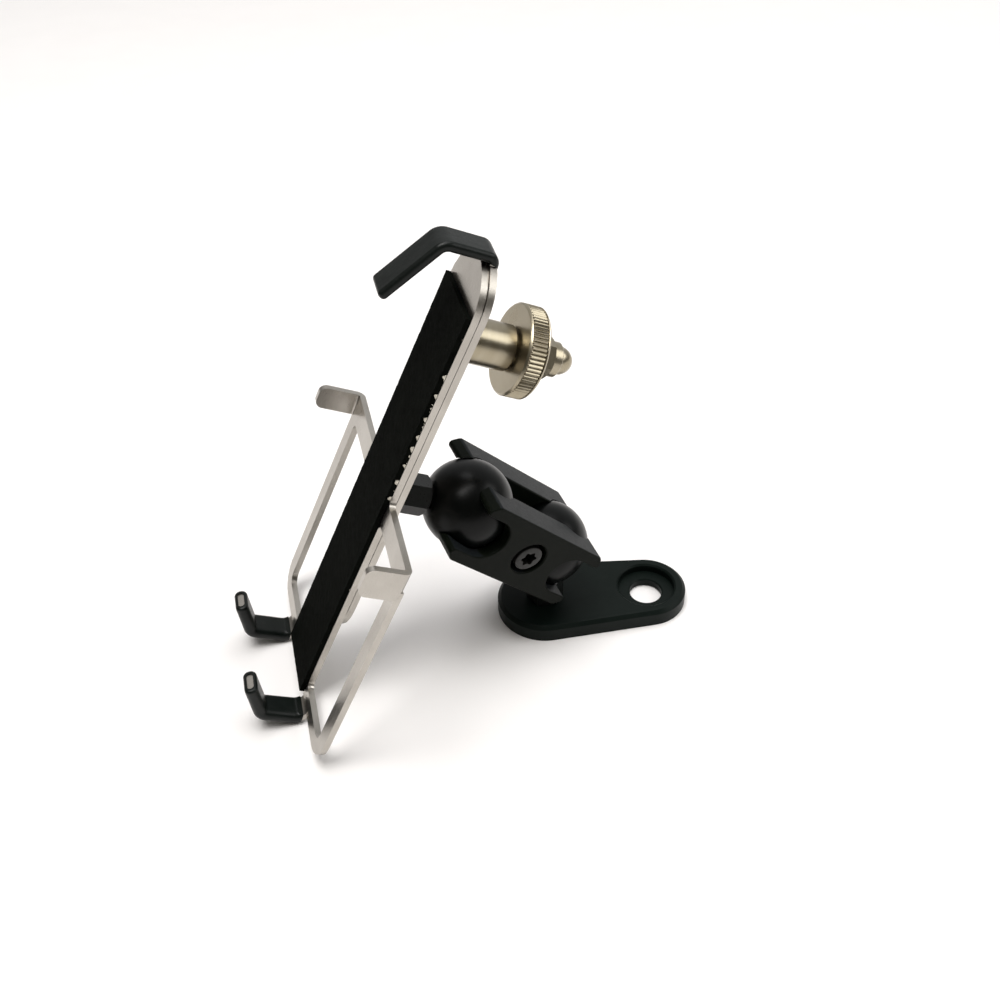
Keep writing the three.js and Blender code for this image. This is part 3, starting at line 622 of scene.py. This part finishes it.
def base_plate():
    half = BASE_SPAN / 2
    tangent = math.acos((BASE_BALL_END_R - BASE_BOLT_END_R) / BASE_SPAN)
    outline = arc(-half, 0, BASE_BALL_END_R, tangent, math.tau - tangent, steps=44)
    outline += arc(half, 0, BASE_BOLT_END_R, -tangent, tangent, steps=36)
    bm = prism(outline, 0, BASE_THICKNESS, GROUND)
    top = [e for e in bm.edges if all(v.co.z > BASE_THICKNESS * MM - WELD for v in e.verts)]
    bmesh.ops.bevel(
        bm, geom=top, offset=BASE_CHAMFER * MM, segments=1, affect="EDGES", clamp_overlap=True,
    )
    soften(bm, BASE_EDGE)
    seat = BASE_THICKNESS - BOLT_SEAT_DEPTH
    above = BASE_THICKNESS + SEAT_MOUTH
    hole = Matrix.Translation((half * MM, 0, 0)) @ GROUND
    cutter = [
        (0, -OVERRUN), (BOLT_HOLE_R + BOLT_LEAD + OVERRUN, -OVERRUN), (BOLT_HOLE_R, BOLT_LEAD),
        (BOLT_HOLE_R, seat - SEAT_EDGE), (BOLT_HOLE_R + SEAT_EDGE, seat), (BOLT_SEAT_R, seat),
        (BOLT_SEAT_R, BASE_THICKNESS - SEAT_MOUTH), (BOLT_SEAT_R + 2 * SEAT_MOUTH, above), (0, above),
    ]
    made = combined(bm, lathe(cutter, hole), "DIFFERENCE")
    piece("base_plate_machined", made, BASE_BLACK, "base", "base_plate", FINE_CREASE)


base_plate()

# ---------------------------------------------------------------- arm


def rounded(before, corner, after, radius, steps=7):
    """A corner of an outline turned with a round of the given radius."""
    at = Vector(corner)
    back, on = (Vector(before) - at).normalized(), (Vector(after) - at).normalized()
    half = back.angle(on) / 2
    centre = at + (back + on).normalized() * radius / math.sin(half)
    start = at + back * radius / math.tan(half) - centre
    side = math.copysign(1, (-back).cross(on))
    sweep = side * (math.pi - 2 * half)
    return [tuple(centre + Matrix.Rotation(sweep * i / steps, 2) @ start) for i in range(steps + 1)]


def arm_half(name, side):
    """side is 1 for the far half and -1 for the near half."""
    outline = []
    for centre, out in ((0, -1), (ARM_SPAN, 1)):
        shoulder, prong = centre + out * ARM_SHOULDER, centre + out * ARM_TIP
        height, notch = out * ARM_HALF_HEIGHT, out * ARM_FORK_R
        outline += rounded((ARM_SPAN / 2, -height), (shoulder, -height), (prong, -notch), SHOULDER_ROUND)
        outline += rounded((shoulder, -height), (prong, -notch), (centre, -notch), PRONG_ROUND)
        fork = -out * math.pi / 2
        outline += arc(centre, 0, ARM_FORK_R, fork, fork - math.pi, FORK_STEPS)
        outline += rounded((centre, notch), (prong, notch), (shoulder, height), PRONG_ROUND)
        outline += rounded((prong, notch), (shoulder, height), (ARM_SPAN / 2, height), SHOULDER_ROUND)
    lying = ARM @ Matrix.Diagonal((1, side, 1, 1)) @ SWAP_YZ
    bm = prism(outline, ARM_INNER, ARM_OUTER, lying)
    soften(bm, ARM_EDGE, 3, BLUNT_CREASE)
    turns = [math.pi * i / SOCKET_STEPS for i in range(1, SOCKET_STEPS)]
    sphere = [(SOCKET_R * math.sin(turn), -SOCKET_R * math.cos(turn)) for turn in turns]
    sphere = [(0, -SOCKET_R), *sphere, (0, SOCKET_R)]
    for centre in (0, ARM_SPAN):
        socket = lathe(sphere, ARM @ Matrix.Translation((centre, 0, 0)))
        bm = combined(bm, socket, "DIFFERENCE")
    along = SCREW @ Matrix.Diagonal((1, 1, side, 1))
    outside = ARM_OUTER + OVERRUN
    shank = lathe([(0, 0), (SHANK_HOLE_R, 0), (SHANK_HOLE_R, outside), (0, outside)], along, 48)
    bm = combined(bm, shank, "DIFFERENCE")
    if side < 0:
        bottom, mouth = ARM_OUTER - POCKET_DEPTH, ARM_OUTER + POCKET_EDGE
        pocket = lathe([
            (0, bottom), (POCKET_R, bottom), (POCKET_R, ARM_OUTER - POCKET_EDGE),
            (POCKET_R + 2 * POCKET_EDGE, mouth), (0, mouth),
        ], along, 64)
    else:
        pocket = prism(hexagon(NUT_POCKET_FLATS), NUT_POCKET_FLOOR, outside, along)
    bm = combined(bm, pocket, "DIFFERENCE")
    piece(name + "_machined", bm, ARM_BLACK, "arm", name, FINE_CREASE)


arm_half("arm_half_near", -1)
arm_half("arm_half_far", 1)


def clamp_screw():
    face = -ARM_OUTER + REST_GAP
    foot = face + HEAD_LENGTH
    end = ARM_OUTER - SHANK_SINK
    body = lathe([
        (0, face), (HEAD_R - HEAD_EDGE, face), (HEAD_R - HEAD_EASE, face + HEAD_EASE),
        (HEAD_R, face + HEAD_EDGE), (HEAD_R, foot), (SHANK_R, foot), (SHANK_R, end), (0, end),
    ], SCREW, 72)
    lobes = []
    for i in range(FINE):
        angle = math.tau * i / FINE
        radius = KEY_R + KEY_WAVE * math.cos(KEY_LOBES * angle)
        lobes.append((radius * math.cos(angle), radius * math.sin(angle)))
    key = prism(lobes, face - OVERRUN, face + KEY_DEPTH, SCREW)
    made = combined(body, key, "DIFFERENCE")
    piece("clamp_screw_socket", made, SCREW_BLACK, "clamp_screw", "clamp_screw")


clamp_screw()
refined("clamp_nut", ZINC, "arm", NUT_EDGE)
refined("base_stem_screw", ZINC, "base", ZINC_EDGE)
refined("front_stem_screw", ZINC, "cradle", ZINC_EDGE)
refined("clamp_stud", ZINC, "cradle", ZINC_EDGE)

# ---------------------------------------------------------------- cradle sheets and hooks

refined("front_plate", STAINLESS, "cradle", SHEET_EDGE)
refined("slider_plate", STAINLESS, "slider", SHEET_EDGE)


def bent_line(route, bends, steps=14):
    """Stations (point, direction) along straight runs joined by round bends, in the x-z plane."""
    points = [Vector(p) for p in route]
    runs = [(end - start).normalized() for start, end in zip(points, points[1:])]
    stations = [(points[0], runs[0])]
    for corner, before, after, bend in zip(points[1:], runs, runs[1:], bends):
        side = math.copysign(1, before.cross(after))
        sweep = before.angle(after)
        start = corner - before * bend * math.tan(sweep / 2)
        centre = start + side * bend * Vector((-before.y, before.x))
        for step in range(steps + 1):
            turn = Matrix.Rotation(side * sweep * step / steps, 2)
            stations.append((centre + turn @ (start - centre), turn @ before))
    stations.append((points[-1], runs[-1]))
    return stations


def pill(half_thickness, half_width, radius, steps=8):
    """Rounded rectangle as (thickness, width) pairs."""
    outline = []
    for u, v, start in ((1, 1, 0), (-1, 1, 1), (-1, -1, 2), (1, -1, 3)):
        outline += arc(
            u * (half_thickness - radius), v * (half_width - radius), radius,
            start * math.pi / 2, (start + 1) * math.pi / 2, steps,
        )
    return outline


def block(x0, x1, y0, y1, z0, z1):
    """Box in the cradle's frame."""
    return prism([(x0, z0), (x1, z0), (x1, z1), (x0, z1)], y0, y1, CRADLE @ SWAP_YZ)


def dipped(route, bends, section, y, tip_round):
    """Rubbery skin round a bent tang: a pill-shaped section swept to a rounded tip."""
    thickness, width = section
    stations = [(point, direction, 0) for point, direction in bent_line(route, bends)]
    tip, out, _ = stations.pop()
    for step in range(TIP_STEPS + 1):
        angle = math.pi / 2 * step / TIP_STEPS
        short, inset = tip_round * (1 - math.sin(angle)), tip_round * (1 - math.cos(angle))
        stations.append((tip - out * short, out, inset))
    bm = bmesh.new()
    rings = []
    for point, direction, inset in stations:
        across = Vector((-direction.y, direction.x))
        round_off = max(SLEEVE_ROUND * thickness / 2 - inset, SLEEVE_LEAST_ROUND)
        ring = []
        for u, v in pill(thickness / 2 - inset, width / 2 - inset, round_off):
            at = point + across * u
            ring.append(bm.verts.new(CRADLE @ Vector((at.x, y + v, at.y))))
        rings.append(ring)
    for low, high in zip(rings, rings[1:]):
        for i in range(len(low)):
            k = (i + 1) % len(low)
            bm.faces.new((low[i], low[k], high[k], high[i]))
    bm.faces.new(reversed(rings[0]))
    bm.faces.new(rings[-1])
    bmesh.ops.remove_doubles(bm, verts=bm.verts, dist=WELD)
    bmesh.ops.recalc_face_normals(bm, faces=bm.faces)
    return bm


def lower_sleeve(name, y):
    bm = dipped(LOWER_ROUTE, LOWER_BENDS, LOWER_SLEEVE, y, LOWER_TIP_ROUND)
    far = LOWER_SLEEVE[1]
    above = block(-far, far, y - far, y + far, STRIP_FOOT - SLEEVE_GAP, far)
    behind = block(LOWER_ROOT, far, y - far, y + far, -far, far)
    bm = combined(bm, above, "DIFFERENCE")
    bm = combined(bm, behind, "DIFFERENCE")
    knee, tip = Vector(LOWER_ROUTE[-2]), Vector(LOWER_ROUTE[-1])
    out = (tip - knee).normalized()
    along = (CRADLE.to_3x3() @ Vector((out.x, 0, out.y))).normalized()
    half_height, half_width, depth = BARE_TIP
    bare = pill(half_height, half_width, half_height * BARE_ROUND)
    end = CRADLE @ Vector((tip.x, y, tip.y))
    tip_frame = frame_matrix(end, along.cross(CRADLE_Y), CRADLE_Y, along)
    bm = combined(bm, prism(bare, -depth, depth, tip_frame), "DIFFERENCE")
    piece(name + "_dipped", bm, VINYL, "cradle", name, SKIN_CREASE)


def top_sleeve():
    bm = dipped(TOP_ROUTE, TOP_BENDS, TOP_SLEEVE, 0, TOP_TIP_ROUND)
    top = SLIDER_TOP + SLEEVE_GAP
    below = top - 3 * STRIP_HALF
    outline = arc(0, top - STRIP_HALF - SLEEVE_GAP, STRIP_HALF + SLEEVE_GAP, 0, math.pi, 48)
    outline += [(-STRIP_HALF, below), (STRIP_HALF, below)]
    sheet = frame_matrix(SHEET_FACE, CRADLE_Y, CRADLE_Z, CRADLE_X)
    slot = prism(outline, SLIDER_FRONT - SLEEVE_GAP, SLIDER_BACK + SLEEVE_GAP, sheet)
    front = block(
        -SHEET, SLIDER_FRONT + OVERRUN, -STRIP_HALF, STRIP_HALF, 0, FRONT_TOP + TOP_CLEARANCE,
    )
    bm = combined(combined(bm, slot, "DIFFERENCE"), front, "DIFFERENCE")
    piece("top_hook_sleeve_dipped", bm, VINYL, "slider", "top_hook_sleeve", SKIN_CREASE)


lower_sleeve("lower_hook_sleeve_near", -HOOK_Y)
lower_sleeve("lower_hook_sleeve_far", HOOK_Y)
top_sleeve()

# ---------------------------------------------------------------- foam pad


def ripple(line, place, pitch):
    """Smooth noise along one of several separate lines, in ripples per millimetre of place."""
    return noise.noise(Vector((line, place * pitch, 0)))


def torn_share(z):
    """Share of the pad's thickness torn off its near edge at a height, mostly in the upper half."""
    upper = max(0, 1 - ((z / PAD_TOP - TORN_MIDDLE) / TORN_SPREAD) ** 2)
    coarse, fine = ripple(3.0, z, 0.55), ripple(7.0, z, 1.7)
    torn = coarse + 0.45 * fine + 0.6 * upper - 0.62
    return min(TORN_MOST, 1.6 * max(0, torn))


def foam_pad():
    """Die-cut strip with slightly wavy cut edges; torn spots on the near edge show pale backing."""
    across, along = 44, 420
    bm = bmesh.new()
    grid = []
    for layer in range(4):
        rows = []
        eased = PAD_EDGE if layer > 1 else 0
        for j in range(along + 1):
            z = PAD_TOP * j / along
            share = torn_share(z)
            depth = (0, TAPE_SHARE + share, TAPE_SHARE + share, 1)[layer]
            x = -REST_GAP - PAD_THICKNESS * depth
            recess = eased + TORN_DEPTH * share if layer > 1 else 0
            near = -PAD_HALF + max(WAVE_LEAST, PAD_WAVE * (ripple(1.0, z, CUT_PITCH) + 0.5)) + recess
            far = PAD_HALF - max(WAVE_LEAST, PAD_WAVE * (ripple(9.0, z, CUT_PITCH) + 0.5)) - eased
            row = []
            for i in range(across + 1):
                y = PAD_SHIFT + near + (far - near) * i / across
                lump = PAD_LUMP * (noise.noise(Vector((y * 0.7, z * 0.7, 0))) + 0.4) if layer == 3 else 0
                end = PAD_END_WAVE * (noise.noise(Vector((y * 1.1, 5.0, 0))) + 0.5) + eased
                height = z + (end if j == 0 else -end if j == along else 0)
                row.append(bm.verts.new(CRADLE @ Vector((x + max(0, lump), y, height))))
            rows.append(row)
        grid.append(rows)
    for rows in (grid[0], grid[-1]):
        for j in range(along):
            for i in range(across):
                bm.faces.new((rows[j][i], rows[j][i + 1], rows[j + 1][i + 1], rows[j + 1][i]))
    loop = [(0, i) for i in range(across)] + [(j, across) for j in range(along)]
    loop += [(along, i) for i in range(across, 0, -1)] + [(j, 0) for j in range(along, 0, -1)]
    for low, high in zip(grid, grid[1:]):
        for k, (j, i) in enumerate(loop):
            jj, ii = loop[(k + 1) % len(loop)]
            side = bm.faces.new((low[j][i], low[jj][ii], high[jj][ii], high[j][i]))
            torn = i == ii == 0 and torn_share(PAD_TOP * max(j, jj) / along) > 0
            side.material_index = 1 if torn and high is not grid[-1] else 0
    loose = [v for v in bm.verts if not v.link_faces]
    bmesh.ops.delete(bm, geom=loose, context="VERTS")
    pad = piece("foam_pad_cut", bm, FOAM, "cradle", "foam_pad", BLUNT_CREASE)
    pad.data.materials.append(TAPE)


foam_pad()

# ---------------------------------------------------------------- thumb nut and dome nut


def thumb_nut():
    core = WHEEL_R - KNURL_DEPTH
    seat = SLIDER_BACK + REST_GAP
    edge, eased = WHEEL_CHAMFER, WHEEL_R - WHEEL_EASE
    turns = [math.pi / 2 * i / COLLAR_STEPS for i in range(1, COLLAR_STEPS)]
    collar = [
        (0, seat), (COLLAR_R - edge, seat), (COLLAR_R, seat + edge), (COLLAR_R, COLLAR_END - COLLAR_ROUND),
    ]
    for turn in turns:
        radius = COLLAR_R - COLLAR_ROUND * (1 - math.cos(turn))
        collar.append((radius, COLLAR_END - COLLAR_ROUND * (1 - math.sin(turn))))
    wheel = [
        (NECK_R, COLLAR_END), (NECK_R, WHEEL_FRONT), (WHEEL_R - edge, WHEEL_FRONT),
        (eased, WHEEL_FRONT + edge - WHEEL_EASE_IN), (WHEEL_R, WHEEL_FRONT + edge + WHEEL_EASE_OUT),
        (eased, KNURL_START), (core, KNURL_START), (core, KNURL_START + KNURL_STEP),
        (WHEEL_R, KNURL_START + KNURL_LEAD, True), (WHEEL_R, KNURL_END - KNURL_LEAD, True),
        (core, KNURL_END - KNURL_STEP), (core, KNURL_END), (eased, KNURL_END),
        (WHEEL_R, WHEEL_BACK - edge - WHEEL_EASE_OUT), (eased, WHEEL_BACK - edge + WHEEL_EASE_IN),
        (WHEEL_R - edge, WHEEL_BACK), (0, WHEEL_BACK),
    ]
    bm = lathe(collar + wheel, STUD_FRAME, KNURL_TEETH * 6, KNURL_TEETH, KNURL_DEPTH)
    piece("thumb_nut_knurled", bm, NICKEL, "thumb_nut", "thumb_nut")


def dome_nut():
    seat = WHEEL_BACK + REST_GAP
    corner = DOME_HEX / math.sqrt(3)
    outside = corner + HEX_CUT
    envelope = [
        (0, seat), (corner - HEX_CUT, seat), (outside, seat + HEX_RISE),
        (outside, DOME_HEX_END - DOME_HEX_RISE), (DOME_RING_R, DOME_HEX_END), (0, DOME_HEX_END),
    ]
    hexed = prism(hexagon(DOME_HEX), seat, DOME_HEX_END, STUD_FRAME)
    hexed = combined(hexed, lathe(envelope, STUD_FRAME), "INTERSECT")
    soften(hexed, HEX_EDGE)
    height = DOME_END - DOME_RING_END
    turns = [math.pi / 2 * i / DOME_STEPS for i in range(DOME_STEPS)]
    cap = lathe([
        (0, seat + OVERRUN), (DOME_RING_R, seat + OVERRUN),
        (DOME_RING_R, DOME_RING_END - DOME_RING_EDGE), (DOME_RING_R - DOME_RING_EDGE, DOME_RING_END),
        *[(DOME_R * math.cos(turn), DOME_RING_END + height * math.sin(turn)) for turn in turns],
        (0, DOME_END),
    ], STUD_FRAME, 64)
    piece("dome_nut_turned", combined(hexed, cap, "UNION"), NICKEL, "cradle", "dome_nut")


thumb_nut()
dome_nut()

# ---------------------------------------------------------------- floor, light and camera, in metres

FLOOR_REACH = 4.0
LIGHTS = {                     # place, target, size, watts, colour
    "overhead": ((-0.32, -0.2, 1.3), (-0.03, 0, 0.03), (0.65, 0.65), 11, (1.0, 0.985, 0.965)),
    "ceiling": ((0.1, 0.25, 1.5), (-0.03, 0, 0), (1.0, 1.0), 9, (0.99, 0.99, 1.0)),
    "side_window": ((1.05, -0.25, 0.8), (-0.03, 0, 0.06), (1.0, 0.55), 6, (1.0, 1.0, 0.99)),
}
BACKDROP_WAY = (0.28, 0.86, 0.42)
ROOM_TONES = [                 # from the dark room behind the camera to the pale backdrop
    (0.0, (0.15, 0.14, 0.12)), (0.25, (0.22, 0.205, 0.18)),
    (0.55, (0.45, 0.44, 0.43)), (0.9, (1.0, 1.0, 1.0)),
]
ROOM_STRENGTH = 0.7
CAMERA_PLACE = Vector((-0.05555, -0.26331, 0.27439))
CAMERA_RIGHT = Vector((0.9933, -0.1140, -0.0172))
CAMERA_UP = Vector((0.0875, 0.6482, 0.7564))
LENS = 43.67                   # millimetres, on the sensor's width
SENSOR = 36.0


def floor():
    bm = bmesh.new()
    reach = FLOOR_REACH
    corners = ((-reach, -reach), (reach, -reach), (reach, reach), (-reach, reach))
    bm.faces.new([bm.verts.new((x, y, cad_low.z)) for x, y in corners])
    mesh = bpy.data.meshes.new("floor")
    bm.to_mesh(mesh)
    bm.free()
    mat, tree, surface = shader("floor_paper", Roughness=0.85, Specular_IOR_Level=0.15)
    fibres = speckle(tree, add(tree, "TexCoord").outputs["Object"], 40.0, 3.0)
    tint = ramp(tree, fibres, [(0.3, (0.93, 0.912, 0.905)), (0.7, (0.945, 0.927, 0.92))])
    feed(tree, surface, Base_Color=tint)
    mesh.materials.append(mat)
    obj = bpy.data.objects.new("floor", mesh)
    bpy.context.scene.collection.objects.link(obj)


def area_light(name, location, target, size, power, colour):
    data = bpy.data.lights.new(name, "AREA")
    data.shape = "RECTANGLE"
    data.size, data.size_y = size
    data.energy = power
    data.color = colour
    obj = bpy.data.objects.new(name, data)
    obj.location = location
    obj.rotation_mode = "QUATERNION"
    obj.rotation_quaternion = (Vector(target) - Vector(location)).to_track_quat("-Z", "Y")
    bpy.context.scene.collection.objects.link(obj)


def world():
    studio = bpy.data.worlds.new("studio")
    studio.use_nodes = True
    tree = studio.node_tree
    way = add(tree, "TexCoord").outputs["Generated"]
    facing = add(tree, "VectorMath", {0: way, 1: BACKDROP_WAY}, operation="DOT_PRODUCT")
    background = tree.nodes["Background"]
    tree.links.new(ramp(tree, facing.outputs["Value"], ROOM_TONES), background.inputs["Color"])
    background.inputs["Strength"].default_value = ROOM_STRENGTH
    bpy.context.scene.world = studio


def camera():
    data = bpy.data.cameras.new("camera")
    data.sensor_width = SENSOR
    data.lens = LENS
    data.clip_start = 0.01
    obj = bpy.data.objects.new("camera", data)
    right = CAMERA_RIGHT.normalized()
    back = right.cross(CAMERA_UP).normalized()
    turn = Matrix((right, back.cross(right), back)).transposed().to_4x4()
    obj.matrix_world = Matrix.Translation(CAMERA_PLACE) @ turn
    bpy.context.scene.collection.objects.link(obj)
    bpy.context.scene.camera = obj


floor()
for name, light in LIGHTS.items():
    area_light(name, *light)
world()
camera()
bpy.context.scene.view_settings.view_transform = "Standard"
